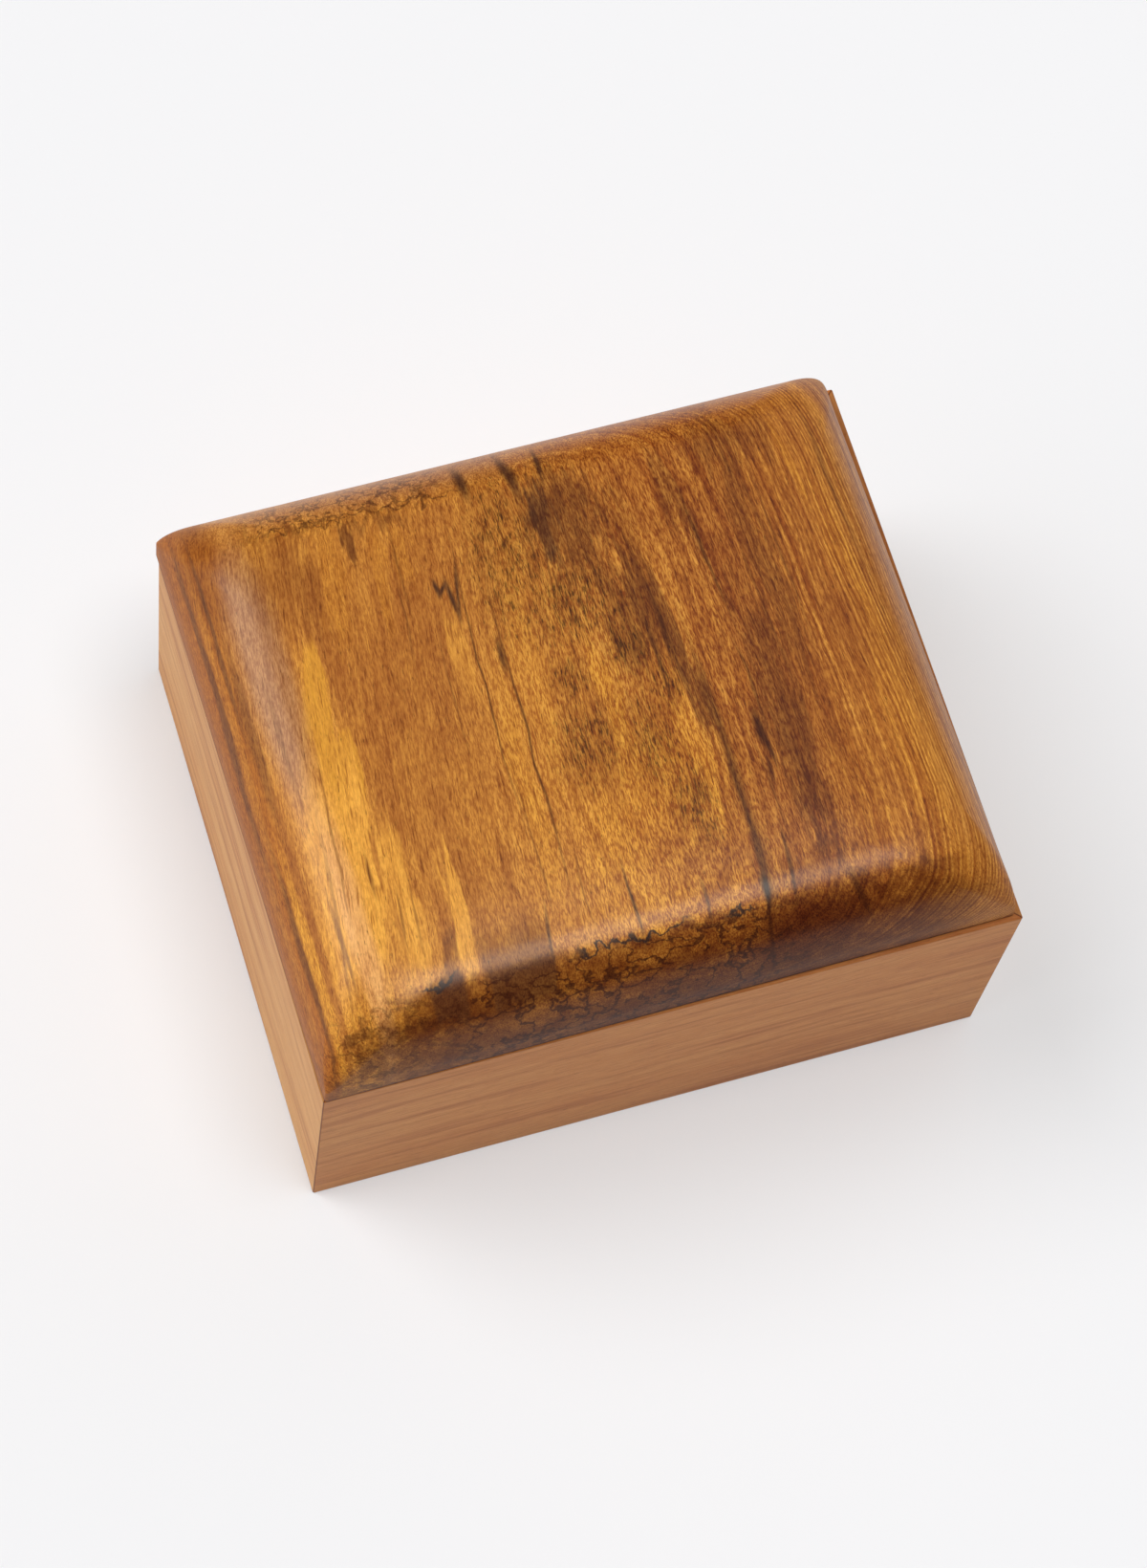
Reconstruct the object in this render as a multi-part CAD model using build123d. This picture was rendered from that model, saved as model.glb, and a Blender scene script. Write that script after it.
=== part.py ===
from build123d import *
from math import cos, radians, sin, tan
import os

# Wooden dice box with a carved lid on two small brass stop hinges. All sizes are in millimetres.
# X runs left to right, Y from the front to the hinged back, Z up. The origin is the middle of the underside.

os.makedirs("parts", exist_ok=True)

# ---------------------------------------------------------------- driving dimensions

# Base: four mitred boards round a loose panel
box_width = 110.0
box_depth = 92.5
wall_height = 46.0
wall_thickness = 8.0
wall_arris = 0.3            # every long edge of the walls is eased by this much

# Bottom panel, held in a groove round the inside of the walls
panel_thickness = 4.0
panel_rise = 3.0            # table to the panel's underside
groove_depth = 3.5
panel_side_play = 0.4       # the panel can swell across its grain
panel_top_play = 0.1        # it lies on the lower side of the groove

# Lid: one thick board, carved to a pillow
lid_gap = 0.15              # shadow line between the rim and the lid
lid_edge = 4.0              # upright edge below the carved shoulder
lid_arris = 0.2             # eased lower edge
shoulder_run = 12.5         # how far in from the edge the shoulder ends
shoulder_rise = 12.0        # how far up it climbs
crown_rise = 1.0            # gentle dome inside the shoulder
crown_flat = 14.0           # half depth of the level patch in its middle
lid_corner = 0.5            # corner radius at the upright edge
shoulder_corner = 10.0      # corner radius where the shoulder ends
crown_corner = 12.0         # corner radius where the dome ends
shoulder_steps = 6
crown_steps = 6
recess_depth = 7.0          # hollow under the lid
recess_corner = 3.0

# The lid was trimmed by hand, so it is a little out of square with the base: how far each corner lies
# inside the side face and the front or back face of the base (below zero it stands out past them)
trim_front_left = (0.2, -0.1)
trim_front_right = (1.2, 0.7)
trim_back_right = (2.2, 0.0)
trim_back_left = (-0.65, 0.6)
right_lean = 0.5            # the right-hand edge leans in by this much over its height

# Felt liners
felt_thickness = 1.5
felt_margin = 0.3           # felt to the wood round it

# Stop hinges: a heel on each leaf meets the other's when the lid is open
hinge_length = 20.0
hinge_inset = 24.0          # side of the box to the middle of a hinge
axis_out = 0.3              # hinge axis beyond the back face
open_angle = 100.0
heel_play = 2.0             # degrees left between the heels at the open angle
leaf_width = 6.3            # axis to the leaf's inner edge
leaf_thickness = 1.2
leaf_corner = 0.4
knuckle_radius = 1.0
knuckle_gap = 0.15          # between one knuckle and the next, along the pin
knuckle_play = 0.1          # between a knuckle and the heel that turns round it
pin_radius = 0.5
pin_clearance = 0.05
mortise_play = 0.1          # leaf to the wood at its ends and inner edge

# Countersunk screws, two to a leaf
screw_spacing = 12.0
screw_inset = 3.8           # axis to the line of the screws
screw_length = 7.0
screw_radius = 0.8
screw_head_radius = 1.5
screw_play = 0.05
slot_width = 0.4
slot_depth = 0.35

# ---------------------------------------------------------------- places worked out from them

half_width = box_width / 2
half_depth = box_depth / 2
well_width = box_width - 2 * wall_thickness
well_depth = box_depth - 2 * wall_thickness
groove_height = panel_thickness + panel_top_play
panel_top = panel_rise + panel_thickness
lid_underside = wall_height + lid_gap
crown_run = half_depth - shoulder_run - crown_flat
axis_y = half_depth + axis_out
axis_z = wall_height + lid_gap / 2
leaf_face = lid_gap / 2                      # axis to the face of a leaf
leaf_back = leaf_face + leaf_thickness       # axis to the back of a leaf, in the wood
heel_slope = tan(radians((open_angle + heel_play) / 2))
hinge_middles = {"left": hinge_inset - half_width, "right": half_width - hinge_inset}
BASE, LID = -1, 1                            # the side of the axis that a leaf lies on


def block(width, depth, height, x=0.0, y=0.0, low=0.0):
    """A box centred on x and y with its underside at low."""
    return Pos(x, y, low) * Box(width, depth, height, align=(Align.CENTER, Align.CENTER, Align.MIN))


def rounded(shape, radius):
    """The same shape with its upright edges rounded."""
    return fillet(shape.edges().filter_by(Axis.Z), radius)


def rod(radius, length, x):
    """A round bar on the hinge axis, centred at x."""
    return Pos(x, axis_y, axis_z) * Rot(0, 90, 0) * Cylinder(radius, length)


def yz_prism(points, length, x):
    """An outline given from the hinge axis, outwards and upwards, drawn out along X and centred at x."""
    corners = [(0, axis_y + out, axis_z + up) for out, up in points]
    outline = make_face(Polyline(*corners, close=True))
    return Pos(x - length / 2, 0, 0) * extrude(outline, length, dir=(1, 0, 0))


# ---------------------------------------------------------------- hinges and screws

def screw_spots(middle, side):
    """Where the two screws of a leaf go in: on the leaf's face, turned to point into the wood."""
    turn = Rot(0, 0, 0) if side == LID else Rot(180, 0, 0)
    y = axis_y - screw_inset
    z = axis_z + side * leaf_face
    return [Pos(middle + step * screw_spacing / 2, y, z) * turn for step in (-1, 1)]


def screw_blank(play):
    """Countersunk head and shank along +Z, made larger by play to cut the hole for it."""
    head_height = screw_head_radius - screw_radius
    head = Cone(screw_head_radius + play, screw_radius + play, head_height)
    shank = Cylinder(screw_radius + play, screw_length)
    return Pos(0, 0, head_height / 2) * head + Pos(0, 0, screw_length / 2) * shank


def screw():
    """One brass wood screw with a straight slot and a short point."""
    point = 2 * screw_radius
    outside = Cylinder(2 * screw_radius, point) - Cone(screw_radius, screw_radius / 4, point)
    slot = Box(3 * screw_head_radius, slot_width, slot_depth)
    body = screw_blank(0) - Pos(0, 0, screw_length - point / 2) * outside
    return body - Pos(0, 0, slot_depth / 2) * slot


def knuckle_spans(middle, side):
    """Middle and length of a leaf's knuckles: one between the two of the base leaf."""
    length = (hinge_length - 2 * knuckle_gap) / 3
    if side == LID:
        return [(middle, length)]
    step = length + knuckle_gap
    return [(middle - step, length), (middle + step, length)]


def hinge_leaf(middle, side):
    """Plate with a bevelled heel past the axis, clear of the other leaf and rolled round its own knuckles."""
    profile = [
        (-leaf_width, side * leaf_face),
        (leaf_face / heel_slope, side * leaf_face),
        (leaf_back / heel_slope, side * leaf_back),
        (-leaf_width, side * leaf_back),
    ]
    plate = yz_prism(profile, hinge_length, middle)
    plate = fillet(plate.edges().filter_by(Axis.Z).group_by(Axis.Y)[0], leaf_corner)
    leaf = plate - rod(knuckle_radius + knuckle_play, 2 * hinge_length, middle)
    for x, length in knuckle_spans(middle, side):
        slice_box = block(length, 4 * leaf_width, 4 * leaf_back, x, axis_y, axis_z - 2 * leaf_back)
        leaf += (plate & slice_box) + rod(knuckle_radius, length, x)
    leaf -= rod(pin_radius + pin_clearance, 2 * hinge_length, middle)
    for spot in screw_spots(middle, side):
        leaf -= spot * screw_blank(screw_play)
    return leaf


def hinge_mortise(middle, side):
    """Wood cut away for one leaf: a pocket as deep as the leaf, open at the back, and two pilot holes."""
    length = hinge_length + 2 * mortise_play
    reach = leaf_width + mortise_play
    corners = [(-reach, 0), (leaf_width, 0), (leaf_width, side * leaf_back), (-reach, side * leaf_back)]
    cutter = yz_prism(corners, length, middle)
    for spot in screw_spots(middle, side):
        cutter += spot * screw_blank(screw_play)
    return cutter


# ---------------------------------------------------------------- base

def wall_ring():
    """The four walls in one ring: eased edges, groove for the panel and mortises in the back."""
    outside = block(box_width, box_depth, wall_height)
    ring = fillet(outside.edges(), wall_arris) - block(well_width, well_depth, wall_height)
    rim = ring.faces().sort_by(Axis.Z)[-1]
    ring = chamfer(rim.inner_wires()[0].edges(), wall_arris)
    groove_size = (well_width + 2 * groove_depth, well_depth + 2 * groove_depth, groove_height)
    ring -= block(*groove_size, low=panel_rise)
    for middle in hinge_middles.values():
        ring -= hinge_mortise(middle, BASE)
    return ring


def mitre_wedges():
    """Each wall's share of the ring: the mitres run in at 45 degrees from the outer corners."""
    corners = {"front_left": (-1, -1), "front_right": (1, -1), "back_right": (1, 1), "back_left": (-1, 1)}
    ends = {
        "front_wall": ("front_left", "front_right"),
        "right_wall": ("front_right", "back_right"),
        "back_wall": ("back_right", "back_left"),
        "left_wall": ("back_left", "front_left"),
    }

    def on_mitre(corner, step):
        sx, sy = corners[corner]
        return (sx * (half_width + step), sy * (half_depth + step))

    wedges = {}
    for name, (first, last) in ends.items():
        points = [on_mitre(first, wall_thickness), on_mitre(last, wall_thickness)]
        points += [on_mitre(last, -2 * wall_thickness), on_mitre(first, -2 * wall_thickness)]
        wedges[name] = extrude(make_face(Polyline(*points, close=True)), wall_height)
    return wedges


# ---------------------------------------------------------------- lid

def lid_section(inset, corner_radius, height, lean=right_lean):
    """Plan outline of the lid at one height above its underside: the trimmed corners moved in and rounded."""
    trims = {
        (-1, -1): trim_front_left,
        (1, -1): trim_front_right,
        (1, 1): trim_back_right,
        (-1, 1): trim_back_left,
    }
    corners = []
    for (sx, sy), (side_trim, end_trim) in trims.items():
        side_trim += lean if sx > 0 else 0
        corners.append((sx * (half_width - side_trim - inset), sy * (half_depth - end_trim - inset)))
    outline = make_face(Polyline(*corners, close=True))
    return Pos(0, 0, lid_underside + height) * fillet(outline.vertices(), corner_radius)


def pillow_sections():
    """Sections from the top of the upright edge, up the shoulder and over the dome."""
    sections = []
    for step in range(shoulder_steps + 1):
        turn = radians(90 * step / shoulder_steps)
        corner = lid_corner + (shoulder_corner - lid_corner) * sin(turn)
        height = lid_edge + shoulder_rise * sin(turn)
        sections.append(lid_section(shoulder_run * (1 - cos(turn)), corner, height))
    for step in range(1, crown_steps + 1):
        share = step / crown_steps
        corner = shoulder_corner + (crown_corner - shoulder_corner) * share
        height = lid_edge + shoulder_rise + crown_rise * (1 - (1 - share) ** 2)
        sections.append(lid_section(shoulder_run + crown_run * share, corner, height))
    return sections


def lid_board():
    """The carved board with its recess and hinge mortises."""
    eased = lid_section(lid_arris, lid_corner - lid_arris, 0, lean=0)
    above = lid_section(0, lid_corner, lid_arris, lean=right_lean * lid_arris / lid_edge)
    edge = loft([eased, above, lid_section(0, lid_corner, lid_edge)], ruled=True)
    board = edge + loft(pillow_sections())
    board -= rounded(block(well_width, well_depth, recess_depth, low=lid_underside), recess_corner)
    for middle in hinge_middles.values():
        board -= hinge_mortise(middle, LID)
    return board


# ---------------------------------------------------------------- all the pieces

pieces = {}

ring = wall_ring()
for name, wedge in mitre_wedges().items():
    pieces[name] = ring & wedge

tongue = 2 * (groove_depth - panel_side_play)
panel_size = (well_width + tongue, well_depth + tongue, panel_thickness)
pieces["bottom_panel"] = block(*panel_size, low=panel_rise)

felt_size = (well_width - 2 * felt_margin, well_depth - 2 * felt_margin, felt_thickness)
pieces["floor_felt"] = block(*felt_size, low=panel_top)

pieces["lid"] = lid_board()
recess_top = lid_underside + recess_depth
lid_felt = block(*felt_size, low=recess_top - felt_thickness)
pieces["lid_felt"] = rounded(lid_felt, recess_corner - felt_margin)

for side, middle in hinge_middles.items():
    pieces[f"hinge_{side}_box_leaf"] = hinge_leaf(middle, BASE)
    pieces[f"hinge_{side}_lid_leaf"] = hinge_leaf(middle, LID)
    pieces[f"hinge_{side}_pin"] = rod(pin_radius, hinge_length, middle)
    for part_name, part_side in (("box", BASE), ("lid", LID)):
        screws = [spot * screw() for spot in screw_spots(middle, part_side)]
        pieces[f"hinge_{side}_{part_name}_screws"] = Compound(screws)

for name, shape in pieces.items():
    export_step(shape, f"parts/{name}.step")
    print(name, len(shape.solids()), "solids", round(shape.volume, 1), "mm3")
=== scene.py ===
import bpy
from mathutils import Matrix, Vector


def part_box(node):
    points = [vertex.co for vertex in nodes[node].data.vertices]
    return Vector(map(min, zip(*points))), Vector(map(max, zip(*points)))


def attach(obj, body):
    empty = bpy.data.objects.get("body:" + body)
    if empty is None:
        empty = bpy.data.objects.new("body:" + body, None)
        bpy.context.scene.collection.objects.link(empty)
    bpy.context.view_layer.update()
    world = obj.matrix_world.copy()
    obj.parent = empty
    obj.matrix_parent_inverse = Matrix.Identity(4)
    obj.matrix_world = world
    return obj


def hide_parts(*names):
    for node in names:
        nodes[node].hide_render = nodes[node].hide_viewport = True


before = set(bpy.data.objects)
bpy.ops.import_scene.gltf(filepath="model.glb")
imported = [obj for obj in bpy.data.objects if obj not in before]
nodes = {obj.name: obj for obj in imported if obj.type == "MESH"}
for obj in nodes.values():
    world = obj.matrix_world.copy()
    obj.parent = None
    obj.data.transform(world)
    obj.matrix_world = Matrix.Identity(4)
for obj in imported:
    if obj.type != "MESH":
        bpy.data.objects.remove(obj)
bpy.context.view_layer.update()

# %% [markdown]
# # A dice box with a carved, hinged lid
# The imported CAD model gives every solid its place: four mitred walls, a bottom panel, a lid carved
# like a pillow, two small brass hinges, and two sheets of felt. This lesson dresses it. The wooden
# and brass solids keep their shape and get materials; the felt, which is soft, is modelled anew.
# Everything is in metres and in the CAD model's own frame. Two helpers do most of the work: one
# turns hex colours into the linear ones that Blender counts in, and one adds a shader node, so that
# a material reads like a list of what is done to the wood.

# %% Tools for the whole lesson
import math

import bpy

MM = 0.001


def linear(hex_code, alpha=1.0):
    """An sRGB hex colour as the linear colour that Blender's nodes work in."""
    channels = [int(hex_code[i:i + 2], 16) / 255 for i in (1, 3, 5)]
    return [c / 12.92 if c <= 0.04045 else ((c + 0.055) / 1.055) ** 2.4 for c in channels] + [alpha]


def add(tree, kind, settings=None, inputs=None):
    """Adds a node with its settings and inputs, and returns its outputs.

    An input is a value, or an output of another node, which is then linked."""
    node = tree.nodes.new("ShaderNode" + kind)
    for name, value in (settings or {}).items():
        setattr(node, name, value)
    for key, value in (inputs or {}).items():
        if isinstance(value, bpy.types.NodeSocket):
            tree.links.new(value, node.inputs[key])
        else:
            node.inputs[key].default_value = value
    return node.outputs


def new_material(name):
    """A node material, and its node tree, emptied so that a finish can be built up in it."""
    material = bpy.data.materials.new(name)
    material.use_nodes = True
    material.node_tree.nodes.clear()
    return material, material.node_tree


def dress(material, *names):
    """Gives CAD nodes, or new pieces, one material."""
    for name in names:
        mesh = bpy.data.objects[name].data
        mesh.materials.clear()
        mesh.materials.append(material)


# %% [markdown]
# ## The camera
# The box is looked down on from its front left corner. A long lens, about 100 mm on a 36 mm sensor,
# keeps its edges nearly parallel, and a little roll turns the box in the frame. The frame is taller
# than it is wide, and then the sensor's 36 mm lie along the taller side.

# %% Place the camera
CAMERA_PLACE = (-129.94, -230.12, 659.17)     # mm
CAMERA_TURN = (22.0662, -5.0659, -17.1047)    # degrees
LENS = 100.575                                # mm, on a sensor of SENSOR mm
SENSOR = 36.0

bpy.ops.object.select_all(action="DESELECT")
bpy.ops.object.camera_add(
    location=[value * MM for value in CAMERA_PLACE],
    rotation=[math.radians(angle) for angle in CAMERA_TURN])
camera = bpy.context.object
camera.name = "camera"
camera.data.lens = LENS
camera.data.sensor_width = SENSOR
camera.data.clip_start = 10 * MM
bpy.context.scene.camera = camera
print("camera at", CAMERA_PLACE, "mm, lens", LENS, "mm")

# %% [markdown]
# ## Light
# The box stands on white paper in soft light: a large lamp nearly overhead, another high at the back
# left, and pale light from a window on either side, of which the left one is the stronger. Area
# lamps fade with distance, and would light the paper unevenly. A sun lamp with a wide angle is a
# soft light that is equally strong all over, so there are four of them, each turned to shine from
# its direction. A dim white world lifts the shadows.

# %% Lamps and world
LAMPS = [
    # name, direction that the light comes from, strength, width in degrees
    ("lamp_overhead", (0.12, -0.14, 0.98), 1.45, 26),
    ("lamp_upper_left", (-0.50, 0.34, 0.79), 1.30, 34),
    ("window_left", (-0.90, 0.15, 0.42), 0.85, 60),
    ("window_right", (0.62, 0.38, 0.69), 0.38, 60),
]
for name, (x, y, z), strength, width in LAMPS:
    tilt = math.atan2(math.hypot(x, y), z)
    swing = math.atan2(y, x) + math.pi / 2
    bpy.ops.object.light_add(type="SUN", location=(x, y, z), rotation=(tilt, 0, swing))
    lamp = bpy.context.object
    lamp.name = name
    lamp.data.energy = strength
    lamp.data.angle = math.radians(width)

WORLD_STRENGTH = 0.10
world = bpy.data.worlds.new("studio")
bpy.context.scene.world = world
world.use_nodes = True
sky = world.node_tree
sky.nodes.clear()
fill = add(sky, "Background", inputs={"Color": linear("#FFFFFF"), "Strength": WORLD_STRENGTH})
add(sky, "OutputWorld", inputs={"Surface": fill[0]})
bpy.context.scene.view_settings.view_transform = "Standard"
print(len(LAMPS), "lamps, and a world of strength", WORLD_STRENGTH)

# %% [markdown]
# ## The paper
# Matt white paper scatters light evenly, so its roughness is high and it hardly shines. In plain
# light it renders a light grey. More light would wash out the box, so the paper itself glows a
# little instead, but only as the camera, a reflection or a clear thing shows it: the box gets no
# light from the glow, and the paper keeps the shadow.

# %% Floor
PAPER_SIZE = 12        # metres, past every edge of the frame
PAPER_DROP = 0.02      # mm below the box, so that the two never share a plane
GLOW_SHARE = 0.3       # how much of the paper's look is glow

bpy.ops.object.select_all(action="DESELECT")
bpy.ops.mesh.primitive_plane_add(size=PAPER_SIZE, location=(0, 0, -PAPER_DROP * MM))
floor = bpy.context.object
floor.name = "floor"
paper, tree = new_material("matt_white_paper")
matt = add(tree, "BsdfPrincipled", inputs={
    "Base Color": linear("#EEEEF0"), "Roughness": 0.9, "Specular IOR Level": 0.2})
glow = add(tree, "Emission", inputs={"Color": linear("#F5F5F5"), "Strength": 1.0})
rays = add(tree, "LightPath")
seen = rays["Is Camera Ray"]
for ray in ("Is Glossy Ray", "Is Transmission Ray"):
    seen = add(tree, "Math", {"operation": "MAXIMUM"}, {0: seen, 1: rays[ray]})[0]
share = add(tree, "Math", {"operation": "MULTIPLY"}, {0: seen, 1: GLOW_SHARE})[0]
lit_paper = add(tree, "MixShader", inputs={0: share, 1: matt[0], 2: glow[0]})
add(tree, "OutputMaterial", inputs={"Surface": lit_paper[0]})
floor.data.materials.append(paper)
print("the floor is stage: paper", PAPER_SIZE, "m wide")

# %% [markdown]
# ## The lid: spalted hardwood, carved, sanded and oiled
# Spalted wood has begun to decay in places, and fungi have left dark ink lines, smoky stains and
# honey-coloured patches in it. Oil deepens those colours and leaves a satin gloss. The figure could
# be an image wrapped round the lid, but then it would smear on the slopes. Here it is solid: every
# point of the board has a colour, worked out from its place, as in a real tree.
#
# The place is measured in millimetres. The grain runs from front to back and fans out a little
# towards the front, so the first step bends the place until the grain is straight. Then noise
# pushes it about, in small waves or large ones, so that what is drawn at the new place wanders.

# %% Straighten the grain
FAN_X = 15.0           # the grain line that runs straight to the back, mm right of the middle
FAN_RATE = 0.0022      # how fast the others lean away from it, per mm


def place_in_mm(tree):
    """Each point's place on its own object, in millimetres."""
    place = add(tree, "TexCoord")["Object"]
    return add(tree, "VectorMath", {"operation": "SCALE"}, {0: place, "Scale": 1 / MM})[0]


def along_grain(x, y):
    """Where a spot seen from above, in mm, lies once the grain is straight."""
    return FAN_X + (x - FAN_X) / (1 - FAN_RATE * y), y


def wander(tree, where, cell, reach):
    """The place pushed about by noise: cell is the size of its waves and reach how far, in mm."""
    scaled = add(tree, "VectorMath", {"operation": "DIVIDE"}, {0: where, 1: cell})[0]
    noise = add(tree, "TexNoise", inputs={"Vector": scaled, "Scale": 1.0, "Detail": 3.0})["Color"]
    push = add(tree, "VectorMath", {"operation": "SUBTRACT"}, {0: noise, 1: (0.5, 0.5, 0.5)})[0]
    return add(tree, "VectorMath", {"operation": "MULTIPLY_ADD"}, {0: push, 1: reach, 2: where})[0]


lid_wood, tree = new_material("spalted_hardwood_carved_and_oiled")
place = place_in_mm(tree)
axes = add(tree, "SeparateXYZ", inputs={0: place})
narrowing = add(tree, "Math", {"operation": "MULTIPLY_ADD"}, {0: axes["Y"], 1: -FAN_RATE, 2: 1.0})[0]
across = add(tree, "Math", {"operation": "SUBTRACT"}, {0: axes["X"], 1: FAN_X})[0]
across = add(tree, "Math", {"operation": "DIVIDE"}, {0: across, 1: narrowing})[0]
across = add(tree, "Math", {"operation": "ADD"}, {0: across, 1: FAN_X})[0]
board = add(tree, "CombineXYZ", inputs={"X": across, "Y": axes["Y"], "Z": axes["Z"]})[0]

grain = wander(tree, board, (14, 45, 14), (3.0, 0, 3.0))       # slow bends of the whole grain
ragged = wander(tree, grain, (2.2, 16, 3), (6.0, 16, 0))       # tears stains along the grain
wavy = wander(tree, grain, (2.4, 12, 3), (1.3, 2.5, 0))        # makes long lines waver
curly = wander(tree, grain, (2.4, 3.2, 3), (1.8, 1.5, 0))      # small curls with no direction
print("fan of the grain: a line at x = -45 leans", round((FAN_X + 45) * FAN_RATE, 3), "mm per mm")

# %% [markdown]
# ### Growth rings
# The board was cut with the heart of the tree above it, so the rings are arcs round a line over the
# lid. Distance from that line gives the ring, and noise stretched along it gives bands of different
# strength. Where the carved slopes cut through the rings, the bands turn in round the corners. All
# noise here is drawn out along the grain, from broad shades of colour down to single fibres. Wood
# fibres are a fiftieth of a millimetre thick, too fine to show, so each one drawn is a bundle.

# %% Rings, blotches and fibres
HEART = (3.0, 0.0, 95.0)   # a point on the heart line, mm


def streaks(tree, where, cell, detail=2.0, low=0.3, high=0.7):
    """Noise drawn out to cells of that size in mm: 0 where it is under low, 1 where it is over high."""
    scaled = add(tree, "VectorMath", {"operation": "DIVIDE"}, {0: where, 1: cell})[0]
    noise = add(tree, "TexNoise", inputs={
        "Vector": scaled, "Scale": 1.0, "Detail": detail, "Roughness": 0.6})[0]
    return add(tree, "MapRange", {"clamp": True}, {0: noise, 1: low, 2: high})[0]


from_heart = add(tree, "VectorMath", {"operation": "SUBTRACT"}, {0: grain, 1: HEART})[0]
from_heart = add(tree, "VectorMath", {"operation": "MULTIPLY"}, {0: from_heart, 1: (1, 0, 1)})[0]
radius = add(tree, "VectorMath", {"operation": "LENGTH"}, {0: from_heart})["Value"]
ring_place = add(tree, "CombineXYZ", inputs={"X": radius, "Y": axes["Y"], "Z": 0.0})[0]

rings = streaks(tree, ring_place, (0.5, 50, 1), detail=3.0, low=0.42, high=0.64)
broad = streaks(tree, grain, (7, 40, 7))
blotches = streaks(tree, grain, (1.0, 5.0, 1.0), detail=5.0, low=0.38, high=0.66)
fibres = streaks(tree, grain, (0.20, 1.2, 0.20), low=0.42, high=0.60)
frayed = streaks(tree, grain, (0.45, 6, 0.45), detail=3.0, low=0.25, high=0.75)
woven = streaks(tree, grain, (0.6, 9, 0.6), detail=4.0, low=0.32, high=0.60)
print("the heart of the tree is", HEART[2], "mm above the table")

# %% [markdown]
# ### A palette, and how a colour goes on
# Stains lie over one another like washes of paint. A share says how much of a wash shows at a point,
# from 0 to 1. Where several shares must hold at once they are multiplied, and where several patches
# make one they count as the strongest. The board starts as amber with broad browner bands.

# %% Colours of the wood, and the first coat
HONEY, GOLD, AMBER = linear("#F6B348"), linear("#EEAC3E"), linear("#E5A242")
BROWN, RUSSET, UMBER = linear("#CC8A3C"), linear("#B26D2B"), linear("#8A5420")
SMOKE, INK, SOOT = linear("#5C3820"), linear("#4A1E08"), linear("#2A2226")
DEEP, OCHRE, RUST = linear("#DD9C33"), linear("#D18D34"), linear("#9E5A18")
# The mauve, cream and fawn below are painted highlight and sheen, not colours of the wood.
MAUVE_SHEEN, CREAM_HIGHLIGHT, FAWN_SHEEN = linear("#A87C62"), linear("#F2B878"), linear("#D2A070")
COPPER, DECAY, ROT = linear("#B66A1A"), linear("#844813"), linear("#6A310F")
BROAD_STRENGTH = 0.55      # of the broad brown bands in the first coat


def cover(tree, *patches):
    """How much some patches cover, where they overlap as much as the strongest of them.

    Each patch is a tuple of shares that must hold at once, and is as strong as their product."""
    covered = None
    for first, *rest in patches:
        patch = first
        for share in rest:
            patch = add(tree, "Math", {"operation": "MULTIPLY"}, {0: patch, 1: share})[0]
        if covered is None:
            covered = patch
        else:
            covered = add(tree, "Math", {"operation": "MAXIMUM"}, {0: covered, 1: patch})[0]
    return covered


def layer(tree, under, over, *shares, how="MIX"):
    """One colour over another, where all the shares hold. With MULTIPLY it is a tint, not a cover."""
    share = cover(tree, shares)
    return add(tree, "Mix", {"data_type": "RGBA", "blend_type": how}, {0: share, 6: under, 7: over})[2]


colour = layer(tree, AMBER, BROWN, broad, BROAD_STRENGTH)
print("first coat: amber, with brown over it by up to", BROAD_STRENGTH)

# %% [markdown]
# ### Stains
# Each stain is an oval in the straightened grain: where it lies seen from above, half its width and
# length, its turn, how soft its edge is, how strong it is, and its colour. The ragged place tears
# the edges along the grain and the fray splits them into threads, so that no oval shows. The honey
# and the deep yellow are clearer wood with less figure, so what they cover is kept for later.

# %% Paint the stains
FRAY = 2.2      # how far the edge of a stain frays, as a multiple of its softness


def spot(tree, where, at, size, turn=0.0, edge=0.35, fray=0.0):
    """How far inside an oval a point is: 1 within it and 0 past its soft edge.

    Its half sizes are in mm, its turn in degrees, and its edge a share of its size."""
    sine, cosine = math.sin(math.radians(turn)), math.cos(math.radians(turn))
    across = (cosine / size[0], sine / size[0], 0)
    along = (-sine / size[1], cosine / size[1], 0)
    local = [add(tree, "VectorMath", {"operation": "DOT_PRODUCT"}, {0: where, 1: axis})["Value"]
             for axis in (across, along)]
    middle = [axis[0] * at[0] + axis[1] * at[1] for axis in (across, along)]
    local = add(tree, "CombineXYZ", inputs={"X": local[0], "Y": local[1]})[0]
    reach = add(tree, "VectorMath", {"operation": "DISTANCE"}, {0: local, 1: (*middle, 0)})["Value"]
    if fray:
        reach = add(tree, "Math", {"operation": "MULTIPLY_ADD"}, {0: frayed, 1: fray, 2: reach})[0]
    limits = {1: 1 + edge + fray / 2, 2: 1 - edge + fray / 2}
    return add(tree, "MapRange", {"interpolation_type": "SMOOTHSTEP"}, {0: reach, **limits})[0]


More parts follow.
